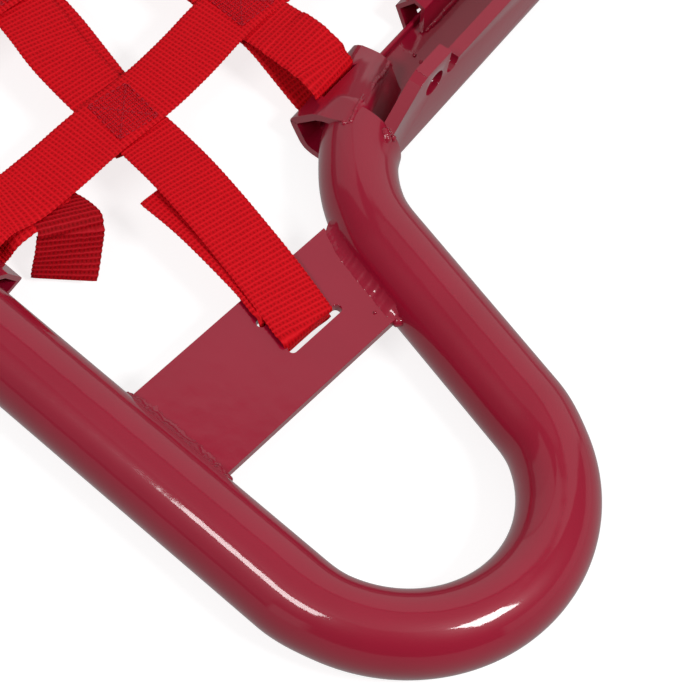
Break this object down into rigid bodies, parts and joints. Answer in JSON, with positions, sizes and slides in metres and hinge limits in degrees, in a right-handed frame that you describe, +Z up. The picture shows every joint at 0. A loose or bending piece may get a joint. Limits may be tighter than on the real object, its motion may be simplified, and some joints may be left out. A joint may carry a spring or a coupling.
{
  "type": "quad bike side guard with foot net",
  "caption": "Bent-tube side guard for a quad bike with a rounded nose, cross plate, formed rear bracket and a foot net of flat straps laced through sheet hooks.",
  "frame": {"origin": "on the ground plane, in the middle of the guard's box seen from above", "axes": "+X along the outer rail towards the nose, +Y inwards to the vehicle, +Z up, square to the net"},
  "size_m": [0.6107, 0.3872, 0.046],
  "materials": {
    "paint": "gloss powder coat, deep red",
    "webbing": "woven flat webbing, bright red",
    "plug": "moulded, black"
  },
  "bodies": {
    "guard": {"outer_tube": "paint", "inner_tube": "paint", "front_end_plug": "plug", "cross_plate": "paint", "rear_bracket": "paint", "front_bracket": "paint", "rail_hook_1": "paint", "rail_hook_2": "paint", "rail_hook_3": "paint", "rail_hook_4": "paint", "inner_hook_1": "paint", "inner_hook_2": "paint", "inner_hook_3": "paint", "inner_hook_4": "paint", "bracket_hook_1": "paint", "bracket_hook_2": "paint", "front_hook_1": "paint", "front_hook_2": "paint", "front_hook_3": "paint", "strap_a1": "webbing", "strap_a2": "webbing", "strap_a3": "webbing", "strap_a4": "webbing", "strap_b1": "webbing", "strap_b2": "webbing", "strap_b3": "webbing"},
    "tail_a1": {"tail_a1": "webbing"},
    "tail_a2": {"tail_a2": "webbing"},
    "tail_a3": {"tail_a3": "webbing"},
    "tail_a4": {"tail_a4": "webbing"},
    "tail_b1": {"tail_b1": "webbing"}
  },
  "joints": [
    {"name": "tail_a1_swing", "type": "hinge", "parent": "guard", "child": "tail_a1", "pos_m": [0.07705, -0.12305, 0.019], "axis": [-0.6561, -0.7547, 0], "range_deg": [-40, 60]},
    {"name": "tail_a2_swing", "type": "hinge", "parent": "guard", "child": "tail_a2", "pos_m": [0.00255, -0.12305, 0.019], "axis": [-0.6561, -0.7547, 0], "range_deg": [-40, 60]},
    {"name": "tail_a3_swing", "type": "hinge", "parent": "guard", "child": "tail_a3", "pos_m": [-0.07195, -0.12305, 0.019], "axis": [-0.6561, -0.7547, 0], "range_deg": [-40, 60]},
    {"name": "tail_a4_swing", "type": "hinge", "parent": "guard", "child": "tail_a4", "pos_m": [-0.14645, -0.12305, 0.019], "axis": [-0.6561, -0.7547, 0], "range_deg": [-40, 60]},
    {"name": "tail_b1_drop", "type": "hinge", "parent": "guard", "child": "tail_b1", "pos_m": [0.14265, -0.09205, 0.0191], "axis": [-0.0698, -0.9976, 0], "range_deg": [0, 50]}
  ]
}
